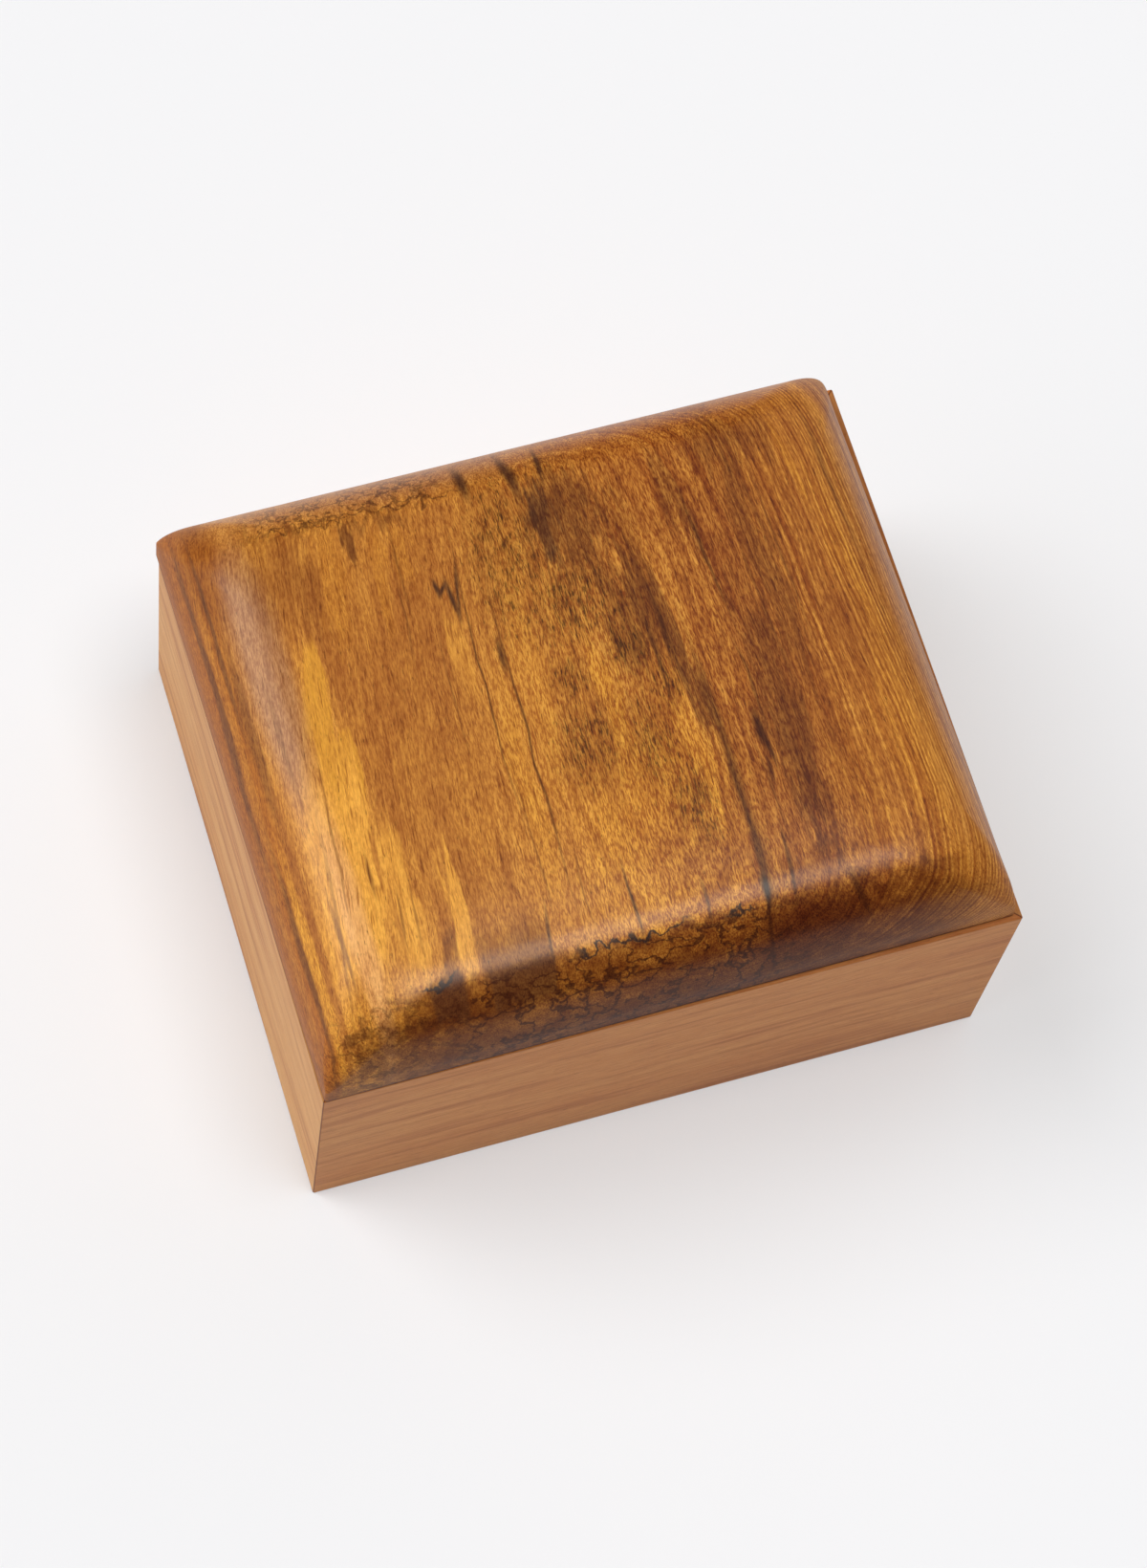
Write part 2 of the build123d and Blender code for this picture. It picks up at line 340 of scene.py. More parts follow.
STAINS = [
    # x, y, half width, half length, turn, edge, strength, colour
    (-27, 4, 10, 36, 0, 0.6, 0.55, RUSSET),
    (-40.0, 28, 5.5, 10, 0, 0.4, 0.8, RUSSET),
    (-36.5, 18, 3.0, 11, 0, 0.5, 0.85, RUSSET),
    (-37.0, 26, 2.2, 8, 0, 0.5, 0.3, UMBER),
    (-34.5, -6, 2.2, 12, 0, 0.5, 0.7, RUSSET),
    (-30.5, 10, 5.5, 11, 0, 0.5, 0.6, RUSSET),
    (-23.5, 4, 2.0, 9, 0, 0.5, 0.45, RUSSET),
    (-21, 22, 6, 16, 0, 0.6, 0.55, RUSSET),
    (-32.8, 27, 2.2, 10, 0, 0.35, 0.9, OCHRE),
    (-26.8, 26, 1.3, 9, 0, 0.35, 0.9, OCHRE),
    (-22.8, 29, 1.0, 6, 0, 0.35, 0.8, OCHRE),
    (-28.9, 33.8, 0.6, 3.2, 0, 0.4, 1.0, UMBER),
    (-24.2, 35.6, 4.2, 1.5, 0, 0.5, 0.7, UMBER),
    (-24.8, 23, 0.8, 10, 0, 0.5, 0.5, RUSSET),
    (-17.8, 12.5, 1.6, 8.0, 0, 0.4, 0.6, HONEY),
    (-14.4, -2, 1.7, 9, 0, 0.4, 0.25, GOLD),
    (-14.8, -16, 1.6, 14, 0, 0.4, 0.5, GOLD),
    (-9, 2, 2.2, 16, 0, 0.5, 0.3, GOLD),
    (4, -22, 11, 14, 0, 0.6, 0.75, GOLD),
    (1.4, -3, 1.6, 9, 0, 0.4, 0.75, GOLD),
    (-4, -30, 6, 8, 0, 0.5, 0.6, GOLD),
    (10.6, -10, 1.3, 6, 0, 0.4, 0.5, GOLD),
    (3, 41.5, 46, 5, 0, 0.5, 0.2, RUSSET),
    (40, -30, 10, 22, 0, 0.7, 0.1, BROWN),
    (21, -26, 2.5, 14, 0, 0.6, 0.5, RUSSET),
    (18.0, -22, 3.0, 18, 0, 0.6, 0.55, RUSSET),
    (1.0, 3.0, 2.0, 3.2, 0, 0.5, 0.5, GOLD),
    (-5.5, -22, 4.0, 4.0, 0, 0.6, 0.3, GOLD),
    (-4.0, -12, 4.5, 6.0, 0, 0.6, 0.35, RUSSET),
    (22, -35.5, 5, 2.6, 0, 0.5, 0.35, UMBER),
    (10, 25, 5, 12, 0, 0.6, 0.5, RUSSET),
    (27.0, 0, 7.0, 42, 0, 0.5, 0.8, RUSSET),
    (26.3, -12, 2.6, 20, 0, 0.5, 0.8, UMBER),
    (30.5, 14, 2.0, 22, 0, 0.5, 0.6, UMBER),
    (24.5, -18, 2.2, 12, 0, 0.5, 0.5, UMBER),
    (33.5, -26, 2.4, 10, 0, 0.6, 0.45, GOLD),
    (12.0, 20, 2.0, 10, 0, 0.5, 0.35, UMBER),
    (-22, -29, 3.0, 7, 0, 0.6, 0.35, RUSSET),
    (32, 34.5, 7, 4.5, 0, 0.6, 0.65, UMBER),
    (36, 22, 3.4, 16, 0, 0.6, 0.5, RUSSET),
    (-36.0, -15, 2.0, 5, 0, 0.5, 0.4, RUSSET),
    (41, 4, 3.5, 22, 0, 0.6, 0.25, BROWN),
    (43, 12, 1.3, 16, 0, 0.4, 0.35, GOLD),
    (39.3, 30, 0.9, 8, 0, 0.4, 0.7, GOLD),
    (40.3, -24, 1.6, 14, 0, 0.5, 0.4, GOLD),
    (44, -12, 4.0, 26, 0, 0.5, 0.5, GOLD),
    (47.6, -27, 2.8, 13, 0, 0.6, 0.5, HONEY),
    (39.5, 2, 2.6, 7, 0, 0.6, 0.6, RUSSET),
    (11.8, -22, 1.3, 10, 0, 0.4, 0.8, GOLD),
    (11.0, 10, 2.8, 9.5, 8, 0.4, 1.0, UMBER),
    (13.6, -3, 1.7, 9, 4, 0.5, 0.85, UMBER),
    (3.2, 28, 6.2, 9, 0, 0.5, 1.0, UMBER),
    (0.0, 28, 1.4, 7.0, 0, 0.5, 0.75, SMOKE),
    (7.0, 8, 2.2, 8, 0, 0.5, 0.7, UMBER),
    (8.5, -30, 4.5, 5, 0, 0.6, 0.6, RUSSET),
    (13.4, -26, 1.6, 12, 0, 0.5, 0.5, RUSSET),
    (20.3, 27, 1.2, 10, 6, 0.5, 0.6, UMBER),
    (-41.4, 7, 1.9, 11, 0, 0.2, 0.95, DEEP),
    (-39.7, -3, 2.6, 6.5, 0, 0.15, 0.85, DEEP),
    (-42.6, -20, 3.4, 18, 0, 0.3, 0.9, HONEY),
    (-37.4, -26, 2.3, 12, 2, 0.2, 0.75, HONEY),
    (-39.6, -16, 0.7, 6, 2, 0.4, 0.8, RUSSET),
    (-39.0, -28, 0.5, 7, 2, 0.4, 0.7, RUSSET),
    (-46.8, -20, 2.2, 18, 0, 0.4, 0.85, HONEY),
    (-30.5, -28, 1.1, 10, 0, 0.2, 0.95, HONEY),
    (-33.2, -31, 1.2, 7, 0, 0.3, 0.8, RUSSET),
    (-27, -27, 3.0, 7, 0, 0.6, 0.3, RUSSET),
    (-33.6, -37, 1.3, 5, 0, 0.4, 0.7, UMBER),
    (-45, -41, 5, 2.5, 0, 0.6, 0.3, GOLD),
    (-45, -44.5, 8, 2.2, 0, 0.6, 0.9, UMBER),
    (-48, 36.5, 4.5, 2.5, 0, 0.6, 0.6, RUSSET),
]
streaky = add(tree, "MapRange", inputs={0: woven, 1: 0.0, 2: 1.0, 3: 0.6, 4: 1.0})[0]
clear_stains = []
for x, y, half_width, half_length, turn, edge, strength, shade in STAINS:
    inside = spot(tree, ragged, along_grain(x, y), (half_width, half_length), turn, edge, FRAY * edge)
    share = cover(tree, (inside, strength, streaky))
    colour = layer(tree, colour, shade, share)
    if shade in (HONEY, DEEP):
        clear_stains.append((share,))
clear = cover(tree, *clear_stains)
print(len(STAINS), "stains, of which", len(clear_stains), "are clear yellow wood")

# %% [markdown]
# ### Bands along the edges
# Along the left edge the carving cuts the rings at a slant, so the bands there run beside the edge
# rather than with the fan of the grain. These stains are placed in the true plan of the lid, which
# noise only makes waver a little. Four of them are painted light, not wood: a mauve and a cream band
# are painted highlight on the left shoulder, a fawn band is painted sheen on the right slope, and a
# mauve band is painted sheen along the back shoulder.

# %% Paint the bands
EDGE_BANDS = [
    # x, y, half width, half length, turn, edge, strength, colour
    (-54.8, 0, 3.5, 80, 0, 0.4, 0.85, COPPER),
    (-51.0, 35, 2.8, 12, 0, 0.5, 0.85, RUST),
    (-51.2, 7, 0.8, 13, 0, 0.5, 0.7, UMBER),
    (-50.8, -22, 0.6, 20, 0, 0.5, 0.75, RUSSET),
    (-52.0, -30, 0.65, 15, 0, 0.5, 0.9, GOLD),
    (-53.0, -28, 0.35, 18, 0, 0.5, 0.6, SMOKE),
    (-54.3, -24, 0.30, 18, 0, 0.5, 0.5, OCHRE),
    (-53.2, 10, 0.50, 26, 0, 0.5, 0.65, OCHRE),
    (-54.1, 16, 0.35, 26, 0, 0.5, 0.6, SMOKE),
    (-52.3, 24, 0.30, 16, 0, 0.5, 0.6, SMOKE),
    # painted highlight on the left shoulder
    (-46.6, 16, 3.6, 20, 0, 0.4, 0.6, MAUVE_SHEEN),
    # painted sheen on the right slope
    (48.4, 0, 2.6, 60, 0, 0.5, 0.12, FAWN_SHEEN),
    (-47.6, 5, 0.35, 8, 0, 0.6, 0.5, UMBER),
    # painted highlight on the left shoulder, lower down
    (-44.8, -26, 1.6, 18, 0, 0.5, 0.6, CREAM_HIGHLIGHT),
    (-47.6, -29, 0.3, 7, 0, 0.6, 0.7, UMBER),
    (-42, 31, 5, 8, 0, 0.6, 0.25, UMBER),
    # painted sheen along the back shoulder
    (-22, 41.5, 26, 3.2, 0, 0.6, 0.3, MAUVE_SHEEN),
]
true_place = wander(tree, place, (2.4, 14, 3), (1.2, 3.0, 0))
for x, y, half_width, half_length, turn, edge, strength, shade in EDGE_BANDS:
    inside = spot(tree, true_place, (x, y), (half_width, half_length), turn, edge)
    colour = layer(tree, colour, shade, inside, strength)
print(len(EDGE_BANDS), "bands along the edges")

# %% [markdown]
# ### The decayed front slope
# The front of the board was the wettest, so decay has turned most of that slope dark brown. Its
# upper border is torn, so the place that it is measured in is pushed about twice, in large steps and
# in small ones. Some patches have rotted darker still. Three square stains, one inside another,
# end at straight edges, as stains do where something wet has lain on a board.

# %% Dark wood at the front
BORDER_Y = -38.4       # where the decay begins, mm from the middle
DECAY_STRENGTH = 0.95  # how much of the dark brown shows where it is strongest


def window(tree, *limits):
    """1 where every value lies between its limits, falling to 0 over its soft edge.

    Each of the limits is a value, its low and high limit, and its edge."""
    sides = []
    for value, low, high, edge in limits:
        for outer, inner in ((low - edge, low + edge), (high + edge, high - edge)):
            sides.append(add(tree, "MapRange", {"interpolation_type": "SMOOTHSTEP"}, {
                0: value, 1: outer, 2: inner})[0])
    return cover(tree, sides)


torn = wander(tree, wander(tree, grain, (6, 6, 6), (0, 3.0, 0)), (2.0, 3.0, 3), (1.6, 6.0, 0))
torn_y = add(tree, "SeparateXYZ", inputs={0: torn})["Y"]
past_border = add(tree, "Math", {"operation": "SUBTRACT"}, {0: BORDER_Y, 1: torn_y})[0]
mottled = streaks(tree, curly, (3.0, 2.4, 3.0), detail=4.0, low=0.35, high=0.62)
uneven = add(tree, "MapRange", inputs={0: mottled, 1: 0.0, 2: 1.0, 3: 0.55, 4: 1.0})[0]
decayed = window(tree, (past_border, 0.0, 60, 0.9), (axes["X"], -42, 43, 6))
colour = layer(tree, colour, DECAY, decayed, uneven, DECAY_STRENGTH)

ROTTEN_PATCHES = [
    # x, y, half width, half length, strength
    (-35.0, -40.0, 2.6, 2.2, 0.7),
    (21.5, -42.6, 8, 2.8, 0.85),
    (14, -44.5, 6, 1.6, 0.4),
    (-10, -45.0, 8, 1.2, 0.15),
    (2, -44, 6, 2.0, 0.5),
    (41.5, -43.5, 7.5, 2.0, 0.35),
    (-5, -46.3, 36, 1.2, 0.5),
    (-32, -43.4, 8, 1.8, 0.6),
    (-43.5, -43.2, 4.5, 1.8, 0.45),
]
for x, y, half_width, half_length, strength in ROTTEN_PATCHES:
    inside = spot(tree, torn, along_grain(x, y), (half_width, half_length), edge=0.5)
    colour = layer(tree, colour, ROT, inside, strength)

SQUARE_FRONT, SQUARE_EDGE = -43.0, 0.45      # mm, shared by the three square stains
SQUARE_STAINS = [
    # left, right, back, softness of the front and back edges, strength, colour
    (-29.2, -18.7, -33.6, 4.0, 0.75, UMBER),
    (-28.4, -19.0, -38.0, 0.9, 0.6, SMOKE),
    (-37.4, -32.2, -37.4, 0.8, 0.6, SMOKE),
]
true_axes = add(tree, "SeparateXYZ", inputs={0: true_place})
for left, right, back, edge, strength, shade in SQUARE_STAINS:
    square = window(
        tree, (true_axes["X"], left, right, SQUARE_EDGE), (true_axes["Y"], SQUARE_FRONT, back, edge))
    colour = layer(tree, colour, shade, square, strength)
print(len(ROTTEN_PATCHES), "rotten patches and", len(SQUARE_STAINS), "square stains past y =", BORDER_Y)

# %% [markdown]
# ### Zone lines
# Fungi wall themselves off from one another with black lines. A scalloped one runs along part of
# the border of the decay, and a finer one near the back edge. Still finer ones make a net over the
# dark wood, like the contour lines of a map, and they are drawn as just that: the places where a
# lumpy noise passes its middle value.

# %% Draw the zone lines
BACK_LINE_Y = 37.2     # where the line near the back edge runs, mm from the middle
NET_STRENGTH, BORDER_STRENGTH, BACK_STRENGTH = 0.85, 0.9, 0.65


def contours(tree, where, cell, width):
    """Lines where noise with cells of that size in mm passes its middle value."""
    scaled = add(tree, "VectorMath", {"operation": "DIVIDE"}, {0: where, 1: cell})[0]
    noise = add(tree, "TexNoise", inputs={
        "Vector": scaled, "Scale": 1.0, "Detail": 3.0, "Roughness": 0.55})[0]
    away = add(tree, "Math", {"operation": "SUBTRACT"}, {0: noise, 1: 0.5})[0]
    away = add(tree, "Math", {"operation": "ABSOLUTE"}, {0: away})[0]
    return add(tree, "MapRange", {"clamp": True}, {0: away, 1: width, 2: width * 0.3})[0]


net = contours(tree, curly, (3.4, 2.6, 3.4), width=0.045)
on_front = window(tree, (axes["Y"], -60, -39.0, 1.0), (axes["X"], -36, 18, 7))
on_back = window(tree, (axes["Y"], 36.5, 43.0, 2.0), (axes["X"], -43, -13, 6))
in_corner = spot(tree, curly, along_grain(-46, -43), (9, 5), edge=0.4)
netted = cover(tree, (on_front,), (on_back, 0.75), (in_corner, 0.55))
colour = layer(tree, colour, INK, net, netted, NET_STRENGTH)

scalloped = window(tree, (past_border, -0.24, 0.24, 0.16))
stretches = [(window(tree, (axes["X"], left, right, edge)),)
             for left, right, edge in ((-15, 2, 1.5), (-38.5, -33, 1), (8, 12.5, 1))]
colour = layer(tree, colour, SOOT, scalloped, cover(tree, *stretches), BORDER_STRENGTH)

past_back = add(tree, "Math", {"operation": "SUBTRACT"}, {0: BACK_LINE_Y, 1: torn_y})[0]
back_line = window(tree, (past_back, -0.20, 0.20, 0.2), (axes["X"], -42, -11, 3))
colour = layer(tree, colour, INK, back_line, BACK_STRENGTH)
print("a net in three places, and", len(stretches) + 1, "stretches of zone line")

# %% [markdown]
# ### Ink lines
# Long dark lines follow the grain, each a crack or a ring that fungus has stained. They are stains
# like the others, but only a few tenths of a millimetre wide, and their place wavers on a small
# scale. A tapered one is an oval that is narrow and long, and the knot is a short, bluish one.

# %% Draw the ink lines
LONG = 3.0      # mm: lines that are longer than this from middle to end waver
LINES = [
    # x, y, half width, half length, turn, strength, colour
    (-18.9, 21.8, 0.38, 1.4, 14, 1.0, SMOKE),
    (-18.0, 21.4, 0.38, 1.2, -37, 1.0, SMOKE),
    (-16.8, 19.6, 0.42, 2.9, 13, 1.0, SMOKE),
    (-15.7, 20.5, 0.30, 4.0, -6, 0.9, SMOKE),
    (-15.8, 6, 0.14, 20, 1, 0.7, INK),
    (-12.1, 8.8, 0.42, 2.6, 0, 0.85, INK),
    (-12.2, -6, 0.16, 20, 1, 0.75, INK),
    (-21.0, 5, 0.14, 9, 2, 0.6, UMBER),
    (-23.6, 27, 0.22, 7, 3, 0.7, UMBER),
    (-25.0, 18, 0.18, 6, 2, 0.7, UMBER),
    (-36.8, 37.3, 0.40, 2.2, 40, 0.7, UMBER),
    (-16.6, -22, 0.14, 9, 2, 0.6, UMBER),
    (-11.2, -29, 0.16, 5, 0, 0.6, UMBER),
    (-4.6, -33, 0.26, 5, 0, 0.9, SMOKE),
    (15.5, -17, 0.80, 20, 0, 0.50, INK),
    (15.3, -24, 0.30, 13, 0, 0.60, INK),
    (14.6, -37, 0.34, 9, -2, 0.85, INK),
    (14.5, -36.4, 0.55, 2.0, 3, 0.9, SOOT),
    (21.3, -12.3, 0.60, 3.2, -2, 0.9, INK),
    (21.7, -15.8, 0.36, 2.8, 5, 0.85, INK),
    (20.8, -19.0, 0.32, 2.0, -3, 0.7, INK),
    (22.2, -5, 0.20, 6, 2, 0.6, INK),
    (20.0, -21, 0.22, 7, 2, 0.6, UMBER),
    (19.0, -34, 0.28, 5.5, -4, 0.8, INK),
    (5.6, -36, 0.26, 3.0, 0, 0.7, INK),
    (28.8, -39.5, 0.50, 3.2, 16, 0.7, INK),
    (-38.6, -27, 0.18, 4, 2, 0.7, UMBER),
    (-36.4, -27, 0.18, 5, 2, 0.6, UMBER),
    (-41.0, -19.5, 0.24, 3.0, 2, 0.8, UMBER),
    (-44.6, -12, 0.16, 12, 2, 0.6, UMBER),
    (-47.6, -26, 0.22, 13, 1, 0.6, UMBER),
    (-18.4, -36, 0.30, 4.6, 0, 0.85, SMOKE),
    (-9.9, 38.6, 0.95, 3.0, 6, 0.95, SMOKE),
    (-2.3, 38.2, 0.75, 4.0, 6, 0.95, SMOKE),
    (2.4, 38.6, 0.50, 2.8, -4, 0.95, SMOKE),
    (40.0, 2.5, 0.40, 2.6, -6, 0.8, RUSSET),
    (22.0, 16, 0.20, 10, 3, 0.7, INK),
    (45.2, 26, 0.40, 12, -3, 0.6, UMBER),
    (12.0, 6, 0.45, 8, 3, 0.5, INK),
    (9.6, 1, 0.30, 5, 2, 0.6, INK),
    (28.0, 8, 0.20, 16, 1, 0.6, UMBER),
    (33.4, 14, 0.20, 14, -1, 0.6, UMBER),
]
for x, y, half_width, half_length, turn, strength, shade in LINES:
    waver = wavy if half_length > LONG else grain
    inside = spot(tree, waver, along_grain(x, y), (half_width, half_length), turn, edge=0.8)
    colour = layer(tree, colour, shade, inside, strength)
print(len(LINES), "ink lines")

# %% [markdown]
# ### Smoke and flecks
# Seen close, the smoky patches are thousands of dark flecks, the stained pores of the wood, which
# crowd together there and are rare elsewhere. A pore is a twentieth of a millimetre wide, too fine
# to show, so the flecks are drawn as bundles of pores a quarter of a millimetre wide.

# %% Flecks
FLECK_EDGE = 0.12      # how much more noise takes a fleck from nothing to full
SMOKY_OVALS = [
    # x, y, half width, half length
    (-7, 25, 5.5, 12),
    (0, 14, 7.8, 6.0),
    (6, 6, 3.2, 5.0),
    (-3.4, 2.6, 2.8, 3.4),
    (-3.8, -8, 4.4, 6.0),
    (5.2, -10, 3.2, 7.0),
    (9.5, -1.5, 2.4, 4.0),
    (8.4, -21, 2.6, 6.0),
]


def flecks(tree, cell, bare, crowding, crowd):
    """Short dark dashes, cell mm in size.

    Bare is how rare they are, and crowding adds more of them where crowd is 1."""
    scaled = add(tree, "VectorMath", {"operation": "DIVIDE"}, {0: grain, 1: cell})[0]
    noise = add(tree, "TexNoise", inputs={"Vector": scaled, "Scale": 1.0, "Detail": 2.0})[0]
    lifted = add(tree, "Math", {"operation": "MULTIPLY_ADD"}, {0: crowd, 1: crowding, 2: noise})[0]
    return add(tree, "MapRange", {"clamp": True}, {0: lifted, 1: bare, 2: bare + FLECK_EDGE})[0]


smoky = cover(tree, *[(spot(tree, wavy, along_grain(x, y), (half_width, half_length), edge=0.8),)
                      for x, y, half_width, half_length in SMOKY_OVALS])
wisps = streaks(tree, grain, (1.2, 3.0, 1.2), detail=3.0, low=0.16, high=0.66)
patchy = cover(tree, (smoky, wisps))
fine_flecks = flecks(tree, (0.18, 1.5, 0.18), 0.65, 0.21, patchy)
coarse_flecks = flecks(tree, (0.28, 4.0, 0.28), 0.58, 0.05, smoky)
print(len(SMOKY_OVALS), "smoky ovals")

# %% [markdown]
# ### The figure over it all
# Rings, blotches, fibres and flecks darken whatever colour lies under them, so they are tints that
# multiply it. They are not equally strong all over: the yellow wood is clearer, the left half is
# plainer, and the right slope is calmer, where even rings come to the surface. Last comes painted
# shade on the lower lip of the lid, where the gap above the rim lies in shadow.

# %% Tint the figure, and paint the shade on the lip
RING_SPACING = 0.62    # mm between the rings on the right slope
# Where the painted shade of the gap above the rim lies on the lid's lower lip:
LIP_DEPTH = 1.0        # mm in from the lid's sides
LIP_FADE = 0.3         # mm over which it fades inwards
LIP_LOW = 0.40         # mm above the lid's foot: the lip is fully dark below this
LIP_HIGH = 0.75        # and clean above this

# Inputs 3 and 4 are how much of the figure is left at the two ends of the range in inputs 1 and 2.
clearer = add(tree, "MapRange", inputs={0: clear, 1: 0.0, 2: 1.0, 3: 1.0, 4: 0.45})[0]
plainer = add(tree, "MapRange", {"clamp": True}, {0: across, 1: -28.0, 2: 6.0, 3: 0.62, 4: 1.0})[0]
figured = cover(tree, (clearer, plainer))
calmer = add(tree, "MapRange", {"clamp": True}, {0: axes["X"], 1: 26.0, 2: 42.0, 3: 1.0, 4: 0.6})[0]
lined = add(tree, "MapRange", {"clamp": True}, {0: across, 1: -6.0, 2: 20.0, 3: 0.6, 4: 1.0})[0]

on_right = add(tree, "MapRange", {"clamp": True}, {0: axes["X"], 1: 24.0, 2: 36.0})[0]
phase = add(tree, "Math", {"operation": "MULTIPLY"}, {0: radius, 1: 2 * math.pi / RING_SPACING})[0]
phase = add(tree, "Math", {"operation": "SINE"}, {0: phase})[0]
fine_rings = add(tree, "MapRange", inputs={0: phase, 1: -1.0, 2: 1.0})[0]

lid_low, lid_high = ([value / MM for value in corner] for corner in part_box("lid"))
past_side = []
for axis, side in zip("XY", lid_high):
    from_middle = add(tree, "Math", {"operation": "ABSOLUTE"}, {0: axes[axis]})[0]
    past = add(tree, "Math", {"operation": "SUBTRACT"}, {0: from_middle, 1: side - LIP_DEPTH})[0]
    past_side.append((past,))
lip_gap_shade = cover(tree, *past_side)
lip_gap_shade = add(tree, "MapRange", {"clamp": True}, {0: lip_gap_shade, 1: 0.0, 2: LIP_FADE})[0]
at_foot = add(tree, "MapRange", {"clamp": True}, {
    0: axes["Z"], 1: lid_low[2] + LIP_HIGH, 2: lid_low[2] + LIP_LOW})[0]

TINTS = [
    # colour, where it goes, strength
    ("#B0784A", (rings, figured, lined), 0.75),
    ("#C09460", (blotches, figured, calmer), 0.55),
    ("#A87040", (fibres, figured, calmer), 0.85),
    ("#B88A5C", (fine_rings, on_right), 0.55),
    ("#BCB494", (patchy,), 0.55),
    ("#746848", (fine_flecks,), 0.85),
    ("#A87C50", (coarse_flecks,), 0.7),
    # painted shade of the gap above the rim, on the lid's lower lip
    ("#6A4428", (lip_gap_shade, at_foot), 0.8),
]
for tint, shares, strength in TINTS:
    colour = layer(tree, colour, linear(tint), *shares, strength, how="MULTIPLY")
print(len(TINTS), "tints over", len(STAINS) + len(EDGE_BANDS) + len(LINES), "stains, bands and lines")

# %% [markdown]
# ### Oil
# The crown is sanded fine and rubbed with oil until it shines softly, and the steep foot of the
# slopes, which is hard to get at, stays duller. Oil has a low, warm reflection, so the specular
# level is under Blender's 0.5 and its tint is a trace of cream.

# %% The lid's shader
DULL_BELOW, GLOSSY_ABOVE = 50.5, 59.0     # mm above the table

roughness = add(tree, "MapRange", {"interpolation_type": "SMOOTHSTEP"}, {
    0: axes["Z"], 1: DULL_BELOW, 2: GLOSSY_ABOVE, 3: 0.60, 4: 0.30})[0]
oiled = add(tree, "BsdfPrincipled", inputs={
    "Base Color": colour, "Roughness": roughness, "Specular IOR Level": 0.30,
    "Specular Tint": linear("#FFF4E6")})
add(tree, "OutputMaterial", inputs={"Surface": oiled[0]})
dress(lid_wood, "lid")
print("the lid has", len(tree.nodes), "shader nodes")

# %% [markdown]
# ## The walls: pale hardwood, planed, sanded and lightly oiled
# The four walls are a plainer, pinkish-tan wood, and show what joinery looks like up close: the grain
# runs along each wall, so it turns the corner at every mitre. One material that is given the wall's
# own direction does both pairs. Growth lines are soft, a few millimetres apart, and wander a little;
# fibres and pores are short dashes, a quarter of a millimetre wide, which is coarser than real ones,
# so that they show. The rim is darker, partly from more oil and partly as painted shade of the lid
# above it, the foot is darker towards the bottom, and glue lines show dark at the mitres, which run
# at 45 degrees through the corners of the box.

# %% Pale wall wood
HALF_WIDTH, _, WALL_HEIGHT = [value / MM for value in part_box("front_wall")[1]]
HALF_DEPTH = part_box("left_wall")[1][1] / MM
# How far from the rim, the foot and a mitre the wood starts to darken, and is fully dark, in mm
RIM_FADE, FOOT_FADE, MITRE_FADE = (0.5, 0.15), (0.5, 0.1), (0.22, 0.05)
print("box corner and rim, in mm:", [round(value, 2) for value in (HALF_WIDTH, HALF_DEPTH, WALL_HEIGHT)])


def wall_wood(name, along, early, late):
    """Wall wood with its grain along an axis, X or Y: early and late are its light and dark growth."""
    material, tree = new_material(name)
    axes = add(tree, "SeparateXYZ", inputs={0: place_in_mm(tree)})
    through = "Y" if along == "X" else "X"
    turned = add(tree, "CombineXYZ", inputs={"X": axes[along], "Y": axes[through], "Z": axes["Z"]})[0]
    fibre_place = wander(tree, turned, (26, 30, 16), (0, 0, 2.6))
    rings = streaks(tree, fibre_place, (50, 16, 2.4), low=0.50, high=0.70)
    bands = streaks(tree, fibre_place, (60, 30, 7.0))
    fibres = streaks(tree, fibre_place, (5.0, 0.3, 0.24), low=0.35, high=0.65)
    pores = streaks(tree, fibre_place, (1.7, 0.22, 0.22), low=0.60, high=0.72)

    rim_oil_and_shade = add(tree, "MapRange", {"clamp": True}, {
        0: axes["Z"], 1: WALL_HEIGHT - RIM_FADE[0], 2: WALL_HEIGHT - RIM_FADE[1]})[0]
    at_foot = add(tree, "MapRange", {"clamp": True}, {0: axes["Z"], 1: FOOT_FADE[0], 2: FOOT_FADE[1]})[0]
    x, y = (add(tree, "Math", {"operation": "ABSOLUTE"}, {0: axes[axis]})[0] for axis in "XY")
    to_mitre = add(tree, "Math", {"operation": "SUBTRACT"}, {0: x, 1: y})[0]
    to_mitre = add(tree, "Math", {"operation": "SUBTRACT"}, {0: to_mitre, 1: HALF_WIDTH - HALF_DEPTH})[0]
    to_mitre = add(tree, "Math", {"operation": "ABSOLUTE"}, {0: to_mitre})[0]
    at_mitre = add(tree, "MapRange", {"clamp": True}, {
        0: to_mitre, 1: MITRE_FADE[0], 2: MITRE_FADE[1]})[0]

    colour = layer(tree, linear(early), linear(late), bands)
    # The tint at the rim is partly oil and partly painted shade of the lid above it.
    for tint, where, strength in (
            ("#D2B08E", rings, 0.65), ("#DCC3AD", fibres, 0.6), ("#B58A6A", pores, 0.5),
            ("#D6C0A4", rim_oil_and_shade, 0.8), ("#C9A080", at_foot, 0.8), ("#7A4A2A", at_mitre, 0.85)):
        colour = layer(tree, colour, linear(tint), where, strength, how="MULTIPLY")

    bump = add(tree, "Bump", inputs={"Strength": 0.25, "Distance": 0.05 * MM, "Height": fibres})[0]
    wood = add(tree, "BsdfPrincipled", inputs={
        "Base Color": colour, "Roughness": 0.52, "Specular IOR Level": 0.2, "Normal": bump})
    add(tree, "OutputMaterial", inputs={"Surface": wood[0]})
    return material


long_grain = wall_wood("pale_hardwood_sanded_along_x", "X", "#DE9C5A", "#D48C4B")
short_grain = wall_wood("pale_hardwood_sanded_along_y", "Y", "#DDA96A", "#D39758")
dress(long_grain, "front_wall", "back_wall", "bottom_panel")
dress(short_grain, "left_wall", "right_wall")

